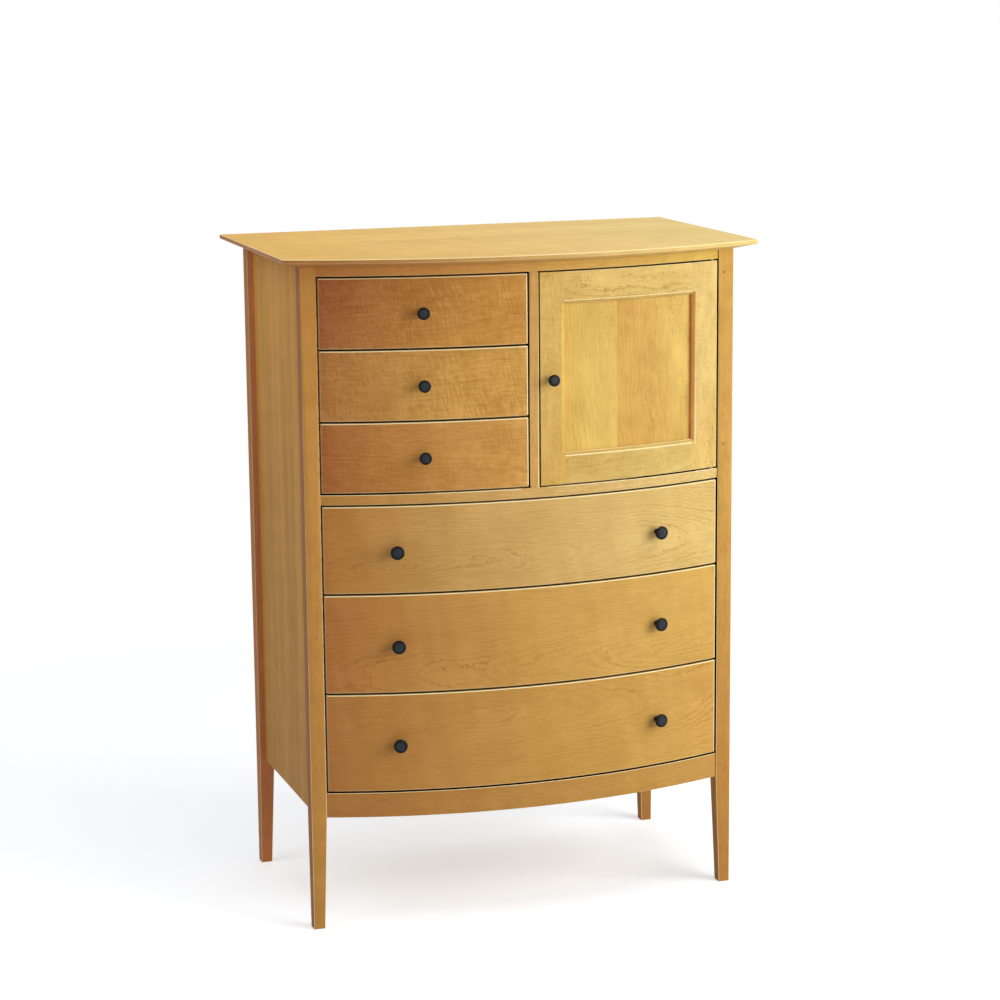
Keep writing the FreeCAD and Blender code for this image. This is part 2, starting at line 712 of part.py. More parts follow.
def build_case(parts):
    pegs = make_pegs()
    screws = make_screws()
    passages = screw_passages()
    case_leaves = make_case_leaves()
    shelf = make_shelf()
    shelf_pins = make_shelf_pins(shelf)
    deck = make_deck()
    bottom_board = make_bottom_board()
    right_panel = make_side_panel()
    left_panel = mirrored(right_panel)
    top_rail = make_front_rail(top_rail_z, top_rail_height)
    mid_rail = make_front_rail(mid_rail_z, mid_rail_height)
    apron = make_apron()
    back_panels = make_back_panels()
    back_frame = [without(piece, back_panels + passages) for piece in make_back_frame()]

    front_fits = [top_rail, mid_rail, apron, left_panel, right_panel] + pegs
    rear_fits = [left_panel, right_panel] + back_frame + back_panels
    for name, rear, fits in (("front", False, front_fits), ("rear", True, rear_fits)):
        post = make_post(rear)
        parts["post_" + name + "_right"] = without(post, fits)
        parts["post_" + name + "_left"] = without(mirrored(post), fits)

    parts["top"] = without(make_top(), screws)
    parts["side_panel_right"] = without(right_panel, [deck, bottom_board] + shelf_pins)
    parts["side_panel_left"] = without(left_panel, [deck, bottom_board])
    parts["top_rail"] = without(top_rail, pegs + case_leaves + passages)
    parts["mid_rail"] = without(mid_rail, pegs + case_leaves)
    parts["apron"] = without(apron, pegs)
    parts["divider"] = make_divider()
    parts["partition"] = without(make_partition(), shelf_pins)
    parts["deck"] = deck
    parts["bottom_board"] = bottom_board
    parts["back_frame"] = group(back_frame)
    parts["back_panels"] = group(back_panels)
    parts["drawer_runners"] = group(make_runners())
    parts["shelf"] = shelf
    parts["shelf_pins"] = group(shelf_pins)
    parts["pegs"] = group(pegs)
    parts["top_screws"] = group(screws)
    parts["hinge_case_leaves"] = group(case_leaves)
    parts["door_stop"] = make_stop()


def add_drawer(parts, name, xs, z, height, knob_radius, knob_xs, knob_drop=0):
    front, sides, back, bottom = make_drawer(xs, z, height)
    knob_z = z + height / 2 - knob_drop
    parts[name + "_front"] = without(front, [spigot_hole(x, knob_z) for x in knob_xs])
    parts[name + "_sides"] = group(sides)
    parts[name + "_back"] = back
    parts[name + "_bottom"] = bottom
    knobs = [make_knob(knob_radius, x, knob_z) for x in knob_xs]
    parts[name + ("_knobs" if len(knobs) > 1 else "_knob")] = group(knobs)


def build_drawers(parts):
    small_middle = (small_drawer_x[0] + small_drawer_x[1]) / 2
    for number, z in enumerate(small_levels, 1):
        add_drawer(parts, f"small_drawer_{number}", small_drawer_x, z, small_drawer_height,
                   small_knob_radius, [small_middle - small_knob_shift])
    wide_knob_xs = [side * wide_knob_offset - wide_knob_shift for side in (-1, 1)]
    for number, (z, height) in enumerate(zip(wide_levels, wide_drawer_heights), 1):
        add_drawer(parts, f"wide_drawer_{number}", wide_drawer_x, z, height,
                   wide_knob_radius, wide_knob_xs, wide_knob_drop)


def build_door(parts):
    latch_stile, hinge_stile, rails, boards = make_door()
    leaves = make_door_leaves()
    catch = make_catch()
    knob_x = door_x[0] + door_knob_inset
    knob_z = (door_z[0] + door_z[1]) / 2
    parts["door_latch_stile"] = without(latch_stile, [catch, spigot_hole(knob_x, knob_z)])
    parts["door_hinge_stile"] = without(hinge_stile, leaves + pin_bores())
    parts["door_rails"] = group([without(rail, [catch]) for rail in rails])
    parts["door_panel"] = group(boards)
    parts["door_knob"] = make_knob(door_knob_radius, knob_x, knob_z)
    parts["door_hinge_leaves"] = group(leaves)
    parts["door_catch"] = catch


def export(parts):
    """Moves the origin to the middle of the bounds on the floor and writes each piece."""
    front = -top_front_overhang - top_bow
    back = case_depth + top_back_overhang
    os.makedirs("parts", exist_ok=True)
    for name, shape in parts.items():
        moved = shape.copy()
        moved.translate(vector(0, -(front + back) / 2, 0))
        moved.exportStep("parts/" + name + ".step")


dresser = {}
build_case(dresser)
build_drawers(dresser)
build_door(dresser)
export(dresser)
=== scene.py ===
import json
import math
import random

import bmesh
import bpy
from mathutils import Matrix, Vector
from mathutils.bvhtree import BVHTree

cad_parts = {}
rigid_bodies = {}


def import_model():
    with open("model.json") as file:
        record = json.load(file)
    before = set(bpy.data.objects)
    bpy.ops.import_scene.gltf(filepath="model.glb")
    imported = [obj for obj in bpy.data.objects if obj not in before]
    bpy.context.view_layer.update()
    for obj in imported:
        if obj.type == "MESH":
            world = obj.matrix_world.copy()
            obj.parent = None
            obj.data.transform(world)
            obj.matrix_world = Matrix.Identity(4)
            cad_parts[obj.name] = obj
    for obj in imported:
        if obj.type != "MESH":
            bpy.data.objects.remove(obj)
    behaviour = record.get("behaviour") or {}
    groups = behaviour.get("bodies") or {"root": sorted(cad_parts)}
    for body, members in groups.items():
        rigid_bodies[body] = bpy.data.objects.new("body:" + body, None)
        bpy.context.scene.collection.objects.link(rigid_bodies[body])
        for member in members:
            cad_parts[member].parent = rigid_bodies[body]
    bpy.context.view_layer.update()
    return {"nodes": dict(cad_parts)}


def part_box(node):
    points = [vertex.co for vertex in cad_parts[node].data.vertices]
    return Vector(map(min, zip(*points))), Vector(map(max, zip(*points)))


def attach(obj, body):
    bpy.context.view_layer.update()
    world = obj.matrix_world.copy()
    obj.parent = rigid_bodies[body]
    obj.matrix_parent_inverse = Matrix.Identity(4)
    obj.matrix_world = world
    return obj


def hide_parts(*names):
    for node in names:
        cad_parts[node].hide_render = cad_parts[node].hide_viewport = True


for leftover in list(bpy.data.objects):
    bpy.data.objects.remove(leftover)
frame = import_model()
nodes = frame["nodes"]

MM = 0.001

# The bowed front: a rise over the width between the posts
bow_rise = 72 * MM
bow_half_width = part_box("post_front_right")[0].x
front_radius = (bow_half_width ** 2 + bow_rise ** 2) / (2 * bow_rise)
bow_centre_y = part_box("wide_drawer_1_front")[0].y + front_radius

# Softened arrises
arris = 1.2 * MM
front_arris = 2.6 * MM
least_arris_length = 5 * MM
least_arris_angle = math.radians(25)
flat_angle = math.radians(0.2)
sharp_angle = math.radians(20)
corner_angle = math.radians(50)
touching = 0.1 * MM
# How near another surface must lie in front of a face for the face to take painted gap shade
gap_reach = 5 * MM


def srgb(red, green, blue):
    """Linear colour with alpha from display values of 0 to 255."""
    def linear(value):
        value /= 255
        return value / 12.92 if value <= 0.04045 else ((value + 0.055) / 1.055) ** 2.4
    return (linear(red), linear(green), linear(blue), 1)


class Wire:
    """An output socket. Each operator on it adds one Math node."""

    def __init__(self, tree, socket):
        self.tree, self.socket = tree, socket

    def math(self, operation, *values):
        return self.tree.node("ShaderNodeMath", {"operation": operation}, dict(enumerate(values)))

    def __add__(self, other):
        return self.math("ADD", self, other)

    def __sub__(self, other):
        return self.math("SUBTRACT", self, other)

    def __rsub__(self, other):
        return self.math("SUBTRACT", other, self)

    def __mul__(self, other):
        return self.math("MULTIPLY", self, other)

    def __truediv__(self, other):
        return self.math("DIVIDE", self, other)

    def __rtruediv__(self, other):
        return self.math("DIVIDE", other, self)

    def __pow__(self, other):
        return self.math("POWER", self, other)

    __radd__ = __add__
    __rmul__ = __mul__


class Tree:
    """A node tree that is filled from expressions."""

    def __init__(self, tree):
        self.tree = tree

    def node(self, kind, settings=None, sockets=None, output=0):
        """Adds a node, gives it its settings, then values or wires for its sockets."""
        made = self.tree.nodes.new(kind)
        for key, value in (settings or {}).items():
            if key == "outline":
                set_outline(made.mapping, value)
            else:
                setattr(made, key, value)
        for key, value in (sockets or {}).items():
            if isinstance(value, Wire):
                self.tree.links.new(value.socket, made.inputs[key])
            else:
                made.inputs[key].default_value = value
        return Wire(self, made.outputs[output]) if made.outputs else None


def set_outline(mapping, points):
    """Points of a Float Curve: place, value and whether the line turns sharply there."""
    curve = mapping.curves[0]
    while len(curve.points) < len(points):
        curve.points.new(0.5, 0.5)
    for point, (place, value, _) in zip(curve.points, points):
        point.location = (place, value)
    for point, (_, _, sharp) in zip(curve.points, points):
        point.handle_type = "VECTOR" if sharp else "AUTO"
    mapping.update()


class Finish(Tree):
    """A material under way."""

    def __init__(self, name):
        self.material = bpy.data.materials.new(name)
        self.material.use_nodes = True
        super().__init__(self.material.node_tree)
        self.tree.nodes.clear()

    def attribute(self, name):
        return self.node("ShaderNodeAttribute", {"attribute_name": name}, output="Vector")

    def object_place(self):
        return self.node("ShaderNodeTexCoord", output="Object")

    def split(self, vector):
        first = self.node("ShaderNodeSeparateXYZ", sockets={0: vector})
        return [Wire(self, socket) for socket in first.socket.node.outputs]

    def joined(self, x, y, z):
        return self.node("ShaderNodeCombineXYZ", sockets={0: x, 1: y, 2: z})

    def stretched(self, vector, factors):
        return self.node("ShaderNodeVectorMath", {"operation": "MULTIPLY"}, {0: vector, 1: factors})

    def moved(self, vector, shift):
        return self.node("ShaderNodeVectorMath", {"operation": "ADD"}, {0: vector, 1: shift})

    def noise(self, place, waves, detail=1.0, roughness=0.5, output=0):
        """Noise from 0 to 1, with so many waves a metre along each axis of the place."""
        return self.node("ShaderNodeTexNoise", {"normalize": True},
                         {"Vector": self.stretched(place, waves), "Scale": 1.0, "Detail": detail,
                          "Roughness": roughness}, output)

    def step(self, value, low, high):
        """Rises smoothly from 0 at low to 1 at high."""
        return self.node("ShaderNodeMapRange", {"interpolation_type": "SMOOTHSTEP"},
                         {"Value": value, "From Min": low, "From Max": high})

    def mixed(self, amount, first, second, blend="MIX"):
        return self.node("ShaderNodeMix", {"data_type": "RGBA", "blend_type": blend},
                         {0: amount, 6: first, 7: second}, output=2)

    def surface(self, colour, roughness, height=None, depth=0.0, metallic=0.0, gloss=0.5, painted_gap_shade=None):
        """Ends the tree; height is a bump of this depth, and the last value how far a gap's painted shade,
        dark and dull, covers the surface.
        """
        sockets = {"Base Color": colour, "Roughness": roughness, "Metallic": metallic,
                   "Specular IOR Level": gloss}
        if height is not None:
            sockets["Normal"] = self.node("ShaderNodeBump", sockets={"Height": height, "Distance": depth})
        shader = self.node("ShaderNodeBsdfPrincipled", sockets=sockets)
        if painted_gap_shade is not None:
            gap = self.node("ShaderNodeBsdfPrincipled",
                            sockets={"Base Color": painted_gap_shade_colour, "Roughness": 1.0, "Specular IOR Level": 0.0})
            shader = self.node("ShaderNodeMixShader", sockets={0: painted_gap_shade, 1: shader, 2: gap})
        self.node("ShaderNodeOutputMaterial", sockets={"Surface": shader})
        return self.material


def tint(colour, light, warmth):
    """A colour made lighter or darker, and redder by the share of green and blue it loses."""
    red, green, blue, alpha = colour
    return (red * light, green * light * (1 - warmth), blue * light * (1 - 3 * warmth), alpha)


# Painted shade for faces in the gaps between pieces, and a painted highlight colour for rounded arrises
painted_gap_shade_colour = srgb(40, 10, 0)
painted_highlight_colour = srgb(255, 240, 186)
painted_highlight_share = 0.95             # of the painted highlight colour on an arris that takes it in full

# Sizes in the wood's figure
line_width = 1.5 * MM         # of dark late wood, on the face of a board
line_place = 0.6              # share of a year's growth before its dark line
least_flatness = 0.03         # squared; keeps a line thin where the rings run flat
heart_sway = (50 * MM, 60 * MM)   # how far the heart wanders across the board and through it
ring_sway = 10 * MM           # how far a ring strays from round
ripple_lean = 0.22            # how much the ripple of curly wood leans over
wood_relief = 0.12 * MM


def wood(name, base, ring=7 * MM, lines=0.3, curl=0.0, bands=0.3, streaks=0.2, blotch=0.3, roughness=0.5,
         gloss=0.2):
    """Figured maple under satin lacquer, cut from a log whose heart each board's attributes place."""
    f = Finish(name)
    pale, deep, line = tint(base, 1.18, -0.04), tint(base, 0.74, 0.12), tint(base, 0.52, 0.29)
    grain = f.attribute("grain")
    seed, tone, figure = f.split(f.attribute("board"))
    heart_across, heart_depth, heart_slope = f.split(f.attribute("heart"))
    along, across, depth = f.split(grain)
    place = f.moved(grain, f.joined(seed * 7.3, seed * 3.7, seed * 1.9))

    # How far each point is from the wandering heart of the log
    wander_x, wander_y, cloud = f.split(f.noise(place, (2.6, 5.0, 5.0), detail=2.0, output="Color"))
    jag = f.noise(place, (95, 130, 130), detail=3.0, roughness=0.65)
    swell = f.noise(place, (14, 30, 30))
    reach_across = across - heart_across + (wander_x - 0.5) * heart_sway[0]
    reach_depth = depth + heart_depth + along * heart_slope + (wander_y - 0.5) * heart_sway[1]
    radius = (reach_across ** 2 + reach_depth ** 2) ** 0.5
    rings = (radius + (jag - 0.5) * ring_sway + (swell - 0.5) * ring_sway) / ring
    year = rings.math("FLOOR", rings)
    phase = rings.math("FRACT", rings)
    weight = f.node("ShaderNodeTexWhiteNoise", {"noise_dimensions": "1D"}, {"W": year + seed * 31})

    # Dark late wood ends each year; a line keeps its width on the face however flat it runs out
    flatness = ((reach_across / radius) ** 2 + least_flatness) ** 0.5
    half_width = flatness * (line_width / 2 / ring)
    off_line = phase.math("ABSOLUTE", phase - line_place)
    shown_here = f.step(f.noise(f.moved(place, (11, 3, 8)), (9, 18, 18)), 0.32, 0.55) + 0.2
    ring_line = f.step(off_line / half_width, 1.6, 0.5) * (f.step(weight, 0.2, 0.8) * 0.9 + 0.1)
    ring_line = ring_line * shown_here * (1.15 - flatness)

    # Fibres, short vessels and clouds of tone
    fibre = f.noise(place, (14, 620, 620), detail=2.0, roughness=0.6)
    vessel = f.step(f.noise(place, (160, 2300, 2300)), 0.66, 0.76)
    mottle = f.noise(place, (12, 20, 20), detail=2.0, roughness=0.6)
    streak = f.noise(place, (1.4, 30, 30), detail=2.0, roughness=0.55)
    texture = f.noise(place, (40, 230, 230), detail=2.0, roughness=0.6)

    # Soft cross bands, and the tight leaning ripple of curly wood, which breaks into dark flecks at the left
    leaning = f.joined(along + across * ripple_lean, across, depth)
    band = f.noise(f.moved(leaning, f.joined(seed, 0, 0)), (24, 5, 5))
    rightward = f.step(along, -0.12, 0.06)
    ripple_wave = f.step(f.noise(leaning, (270, 32, 32), roughness=0.4), 0.36, 0.64) - 0.5
    ripple_patch = f.step(f.noise(f.moved(place, (3, 5, 7)), (7, 9, 9)), 0.32, 0.62)
    ripple = ripple_wave * (ripple_patch * 0.6 + 0.4) * (rightward * 0.75 + 0.25) * figure
    fleck = f.step(f.noise(leaning, (300, 55, 55), detail=2.0), 0.53, 0.70)
    fleck = fleck * (1.0 - rightward * 0.7) * figure

    # From pale to deep: clouds, streaks and bands as this wood has them, and the fibres that every wood has
    clouds = f.step(cloud, 0.3, 0.7) * 0.4 + mottle * 0.9 - 0.65
    curls = ripple * 0.34 + fleck * 0.4 + (texture - 0.5) * 0.4
    shade = clouds * blotch + (streak - 0.5) * streaks + (band - 0.5) * bands + curls * curl + tone
    shade = shade + (fibre - 0.5) * 0.35 + (texture - 0.5) * 0.35 + (phase - 0.5) * 0.10
    colour = f.mixed(f.step(shade, -0.6, 0.6), pale, deep)

    # The board's stain, which also holds painted light; the dark lines take only its depth, so that they
    # stay brown
    stain_and_painted_light = f.attribute("stain_and_painted_light")
    stain_depth = f.split(stain_and_painted_light)[0]
    line = f.stretched(f.joined(stain_depth, stain_depth, stain_depth), line[:3])
    colour = f.mixed(1.0, colour, stain_and_painted_light, "MULTIPLY")
    colour = f.mixed(ring_line * lines, colour, line)
    colour = f.mixed(vessel * 0.14, colour, line)

    # Painted highlight along the softened arrises, and painted shade, dark and dull, in the gaps between
    # pieces
    wear_and_painted_highlight, painted_gap_shade, _ = f.split(f.attribute("edge"))
    colour = f.mixed(wear_and_painted_highlight * painted_highlight_share, colour, painted_highlight_colour)
    height = (fibre - 0.5) * 0.5 - vessel * 0.6 - ring_line * 0.3 + ripple * curl * 0.3
    dullness = roughness + (fibre - 0.5) * 0.10 + ripple * curl * 0.05 + vessel * 0.1
    return f.surface(colour, dullness, height, wood_relief, gloss=gloss, painted_gap_shade=painted_gap_shade)


def end_grain(name, base):
    """The cut ends of pegs: pores and rays across the grain, dark where finish soaked in."""
    f = Finish(name)
    place = f.object_place()
    pores = f.step(f.noise(place, (2600, 2600, 2600)), 0.58, 0.72)
    soaked = f.noise(place, (240, 240, 240), detail=3.0, roughness=0.6)
    colour = f.mixed(f.step(soaked, 0.3, 0.7), tint(base, 1.12, 0), tint(base, 0.75, 0.06))
    colour = f.mixed(pores * 0.4, colour, tint(base, 0.4, 0.1))
    return f.surface(colour, 0.5 + (soaked - 0.5) * 0.2, pores * -1.0, 0.08 * MM, gloss=0.3)


def ebonised(name):
    """Dyed black turned wood under wax, greyer on the flat face."""
    f = Finish(name)
    place = f.object_place()
    flat_face = f.step(f.split(f.attribute("outline"))[0], 0.83, 0.90)
    grain = f.noise(place, (900, 900, 260), detail=3.0, roughness=0.6)
    wear_and_painted_highlight = f.noise(place, (90, 90, 90), detail=2.0)
    black = f.mixed(f.step(grain * 0.7 + wear_and_painted_highlight * 0.3, 0.3, 0.75), srgb(8, 7, 8), srgb(20, 20, 22))
    grey = f.mixed(f.step(grain * 0.6 + wear_and_painted_highlight * 0.4, 0.3, 0.7), srgb(30, 35, 40), srgb(52, 60, 66))
    return f.surface(f.mixed(flat_face, black, grey), 0.42 + (wear_and_painted_highlight - 0.5) * 0.14 + (grain - 0.5) * 0.08, grain,
                     0.10 * MM, gloss=0.15)


def metal(name, pale, deep, roughness):
    """Drawn metal with tarnish and fine marks."""
    f = Finish(name)
    place = f.object_place()
    tarnish = f.noise(place, (60, 60, 60), detail=3.0, roughness=0.6)
    marks = f.noise(place, (400, 4000, 4000), detail=2.0)
    colour = f.mixed(f.step(tarnish, 0.35, 0.7), pale, deep)
    return f.surface(colour, roughness + (tarnish - 0.5) * 0.25 + (marks - 0.5) * 0.1, marks, 0.02 * MM,
                     metallic=1.0)


# Each wood's base colour, and where its figure or lacquer differs from the common values
woods = {
    "top_wood": {"base": srgb(227, 180, 90), "lines": 0.15},
    "post_wood": {"base": srgb(207, 149, 72), "lines": 0.2, "roughness": 0.6},
    "side_wood": {"base": srgb(210, 152, 68), "lines": 0.25, "streaks": 1.0, "gloss": 0.15,
                  "roughness": 0.6},
    "rail_wood": {"base": srgb(215, 166, 94), "curl": 0.2},
    "small_front_wood": {"base": srgb(210, 148, 78), "lines": 0.5, "curl": 1.0, "blotch": 0.6},
    "wide_front_wood": {"base": srgb(219, 166, 86), "lines": 0.75, "ring": 6 * MM},
    "door_frame_wood": {"base": srgb(218, 180, 98), "lines": 0.8, "curl": 0.35, "blotch": 0.7},
    "door_panel_wood": {"base": srgb(217, 174, 88), "lines": 0.5, "blotch": 0.8},
    "inner_wood": {"base": srgb(222, 184, 116)},
    "back_wood": {"base": srgb(214, 168, 96), "lines": 0.35},
    "runner_wood": {"base": srgb(224, 192, 134), "lines": 0.2, "roughness": 0.6},
    "drawer_box_wood": {"base": srgb(230, 200, 146), "roughness": 0.6},
    "drawer_bottom_wood": {"base": srgb(232, 204, 150), "roughness": 0.6},
}
finishes = {name: wood(name, **look) for name, look in woods.items()}
finishes["peg_wood"] = end_grain("peg_wood", srgb(192, 142, 84))
finishes["black_knob"] = ebonised("black_knob")
finishes["brass"] = metal("brass", srgb(214, 176, 104), srgb(158, 118, 62), 0.32)
finishes["steel"] = metal("steel", srgb(186, 186, 184), srgb(120, 118, 114), 0.36)


def solids(node):
    """The triangles of each solid of a CAD node, which follow each other until the solid's shell closes."""
    mesh = node.data
    corners = [tuple(round(value, 6) for value in vertex.co) for vertex in mesh.vertices]
    shell, open_edges = [], set()
    for polygon in mesh.polygons:
        points = [corners[i] for i in polygon.vertices]
        if len(set(points)) < 3:
            continue
        shell.append(points)
        for start, end in zip(points, points[1:] + points[:1]):
            if (end, start) in open_edges:
                open_edges.remove((end, start))
            else:
                open_edges.add((start, end))
        if not open_edges:
            yield shell
            shell = []


def shells_of_all():
    """Every solid of the dresser as (node name, number, triangles)."""
    return [(name, number, shell) for name, node in nodes.items()
            for number, shell in enumerate(solids(node))]


def contact_tree(shells):
    """Search tree over all solids' triangles, with the owner of each triangle."""
    points, triangles, owners = [], [], []
    for name, number, shell in shells:
        for triangle in shell:
            triangles.append(tuple(range(len(points), len(points) + 3)))
            points.extend(triangle)
            owners.append((name, number))
    return BVHTree.FromPolygons(points, triangles), owners


def is_free(edge, owner, tree, owners):
    """True where no other solid lies against the edge."""
    start, end = (vertex.co for vertex in edge.verts)
    for share in (0.2, 0.5, 0.8):
        near = tree.find_nearest_range(start.lerp(end, share), touching)
        if any(owners[found[2]] != owner for found in near):
            return False
    return True


def solid_mesh(shell):
    """One closed mesh with whole flat faces."""
    made = bmesh.new()
    places = {}
    for triangle in shell:
        for point in triangle:
            if point not in places:
                places[point] = made.verts.new(point)
    for triangle in shell:
        made.faces.new([places[point] for point in triangle])
    bmesh.ops.dissolve_limit(made, angle_limit=flat_angle, verts=made.verts, edges=made.edges)
    return made


def soften(made, owner, width, tree, owners):
    """Rounds the arrises that nothing lies against, and marks their faces; other corners stay sharp."""
    mark = made.faces.layers.int.new("rounded")
    arrises = [edge for edge in made.edges
               if edge.is_manifold and edge.is_convex and edge.calc_length() > least_arris_length
               and edge.calc_face_angle(0) > least_arris_angle and is_free(edge, owner, tree, owners)]
    rounded = bmesh.ops.bevel(made, geom=arrises, offset=width, offset_type="OFFSET", segments=2,
                              profile=0.5, affect="EDGES", clamp_overlap=True)["faces"]
    for face in rounded:
        face[mark] = 1
    for edge in made.edges:
        angle = edge.calc_face_angle(0)
        beside_rounding = any(face[mark] for face in edge.link_faces)
        edge.smooth = angle < sharp_angle or (beside_rounding and angle < corner_angle)


# Pieces that follow the bow, and pieces glued up from several staves across their width
bowed = {"apron", "door_latch_stile", "door_hinge_stile", "door_rails", "door_panel",
         *(f"small_drawer_{i}_front" for i in (1, 2, 3)), *(f"wide_drawer_{i}_front" for i in (1, 2, 3))}
framing = {"top_rail", "mid_rail", "divider"}
staves = {"top": 5, "side_panel_left": 4, "side_panel_right": 4, "shelf": 4, "deck": 5,
          "bottom_board": 5, "partition": 4}

# Boards whose grain doesn't run along their longest side, with the axis it follows
grain_runs = {"shelf": 0, **{f"small_drawer_{i}_bottom": 0 for i in (1, 2, 3)}}

# Where the heart of the log lies: across the board, behind its face, and its slope along the board
hearts = {
    "wide_drawer_1_front": (-30 * MM, 26 * MM, 0.10),
    "wide_drawer_2_front": (-60 * MM, 34 * MM, -0.11),
    "wide_drawer_3_front": (45 * MM, 36 * MM, 0.10),
    "small_drawer_1_front": (60 * MM, 80 * MM, 0.06),
    "small_drawer_2_front": (-100 * MM, 90 * MM, -0.05),
    "small_drawer_3_front": (-70 * MM, 60 * MM, 0.08),
    "apron": (100 * MM, 60 * MM, 0.05),
}

# Tones that are set, how far drawn ones stray on some boards, and boards with weaker ripple
tones = {"small_drawer_1_front": 0.08, "small_drawer_2_front": -0.02, "small_drawer_3_front": 0.02}
tone_range = {"top": 0.03, "side_panel_left": 0.05, "side_panel_right": 0.05}
figures = {"small_drawer_3_front": 0.6}

# How each board differs in colour from its fellows, at its two ends: left and right, or foot and top;
# besides the board's own colour, on most boards this paints shade, darker and redder, at the left or foot,
# and a paler, whiter painted sheen at the right or top
stains_and_painted_light = {
    "top": ((0.94, 0.89, 0.35), (1.09, 1.34, 1.90)),
    "top_rail": ((0.98, 0.72, 0.72), (1.10, 1.36, 0.88)),
    "mid_rail": ((0.91, 0.78, 0.62), (1.16, 1.56, 2.10)),
    "apron": ((0.76, 0.60, 0.56), (0.81, 0.79, 0.61)),
    "post_front_left": ((0.81, 0.82, 0.87), (0.95, 0.95, 0.92)),
    "post_front_right": ((0.84, 0.82, 0.82), (1.14, 1.38, 1.45)),
    "post_rear_left": ((0.80, 0.66, 0.75), (0.84, 0.70, 0.80)),
    "post_rear_right": ((0.79, 0.72, 0.80), (0.90, 0.84, 0.90)),
    "side_panel_left": ((0.95, 1.00, 1.28), (1.34, 1.42, 1.70)),
    "side_panel_right": ((0.95, 1.00, 1.28), (1.34, 1.42, 1.70)),
    "small_drawer_1_front": ((0.73, 0.54, 0.78), (1.05, 1.14, 0.90)),
    "small_drawer_2_front": ((0.82, 0.75, 0.86), (1.03, 1.22, 1.05)),
    "small_drawer_3_front": ((0.75, 0.56, 0.62), (1.01, 1.14, 1.06)),
    "wide_drawer_1_front": ((0.80, 0.64, 0.64), (1.02, 1.34, 1.90)),
    "wide_drawer_2_front": ((0.76, 0.57, 0.62), (0.94, 1.06, 1.03)),
    "wide_drawer_3_front": ((0.81, 0.66, 0.75), (0.91, 0.99, 0.94)),
    "door_latch_stile": ((1.05, 1.02, 0.95), (1.10, 1.14, 1.24)),
    "door_rails": ((1.05, 1.10, 1.20), (1.00, 1.11, 1.30)),
    "door_hinge_stile": ((0.99, 1.03, 1.12), (1.01, 1.11, 1.42)),
    "door_panel 0": ((1.00, 1.06, 0.98), (1.06, 1.16, 1.25)),
    "door_panel 1": ((0.98, 0.92, 0.84), (1.08, 1.22, 1.40)),
}

# Faces that differ from the rest of their board: the boards, which faces, and their stain at its two ends;
# on these faces the stain paints light and shade
door_boards = ("door_latch_stile", "door_hinge_stile", "door_rails", "door_panel")
face_stains_and_painted_light = [
    # The top's edges: painted shade at the left, a whiter painted sheen at the right
    (("top",), lambda outward: outward.z < 0.7, (0.68, 0.46, 0.60), (1.02, 1.28, 1.90)),
    # The front left post's outer side: painted shade
    (("post_front_left",), lambda outward: outward.x < -0.7, (0.62, 0.50, 0.55), (0.66, 0.54, 0.58)),
    # The rear left post's front-facing step, in shade: a painted tone for its shade
    (("post_rear_left",), lambda outward: outward.y < -0.7, (1.03, 0.78, 1.30), (1.22, 1.14, 2.60)),
    # The backs of the door: a painted tone for how they look in shade
    (door_boards, lambda outward: outward.y > 0.5, (1.10, 0.98, 1.30), (1.10, 0.98, 1.30)),
    # The hinge stile's bevel towards the panel, in shade: painted reddish bounce light
    (("door_hinge_stile",), lambda outward: outward.x < -0.3, (1.26, 0.98, 1.10), (1.26, 0.98, 1.10)),
]


def grain_axes(made, name):
    """Axes along the grain, across the board and through it, from the board's own proportions."""
    if name in bowed:
        tall = {"door_latch_stile", "door_hinge_stile", "door_panel"}
        return (2, 0, 1) if name in tall else (0, 2, 1)
    sizes = [max(v.co[i] for v in made.verts) - min(v.co[i] for v in made.verts) for i in range(3)]
    through, across, along = sorted(range(3), key=lambda i: sizes[i])
    if name in grain_runs and along != grain_runs[name]:
        along, across = grain_runs[name], along
    return along, across, through


def unbent(point):
    """The point with the bow taken out: arc length, depth behind the front, height."""
    x, y = point.x, bow_centre_y - point.y
    return Vector((front_radius * math.atan2(x, y), front_radius - math.hypot(x, y), point.z))


# How staves are drawn from their logs, where no table above says
heart_offset_share = 0.4      # of a stave's width, to either side
heart_depths = (30 * MM, 90 * MM)
heart_slopes = (0.02, 0.08)
common_tone_range = 0.10

front_painted_gap_shade = 0.75        # painted gap shade of the drawer fronts and the door's boards; the case's is painted dark outright
lip_painted_shade = 0.6               # how much of its board's painted gap shade a rounded lip beside a gap takes
faint_painted_highlight = 0.3              # of the painted highlight on arrises beside a gap, facing left or facing down, where less lamp light falls
left_facing = 0.5             # least part of a face's normal that points there
down_facing = 0.3
stain_bend = 0.8              # how early a bowed board reaches the stain and painted light of its right end


def cut_staves(made, across, low, width, count):
    """Cuts the faces where the staves of a wide board meet."""
    normal = Vector([float(i == across) for i in range(3)])
    for cut in range(1, count):
        geometry = made.verts[:] + made.edges[:] + made.faces[:]
        bmesh.ops.bisect_plane(made, geom=geometry, plane_co=normal * (low[across] + cut * width),
                               plane_no=normal)


def draw_stave(name, number, stave, width):
    """A stave's own seed, tone and place of its log's heart."""
    draw = random.Random(f"{name} {number} {stave}")
    tone_limit = tone_range.get(name, common_tone_range)
    heart = (draw.uniform(-heart_offset_share, heart_offset_share) * width, draw.uniform(*heart_depths),
             draw.choice((-1, 1)) * draw.uniform(*heart_slopes))
    return draw.uniform(0, 10), draw.uniform(-tone_limit, tone_limit), heart


def painted_gap_darkness(name):
    """How strong the painted shade is on a board's faces in the gaps round the drawers and the door."""
    if name in framing or name == "apron" or name.startswith("post_front"):
        return 1.0
    return front_painted_gap_shade if name in bowed else 0.0


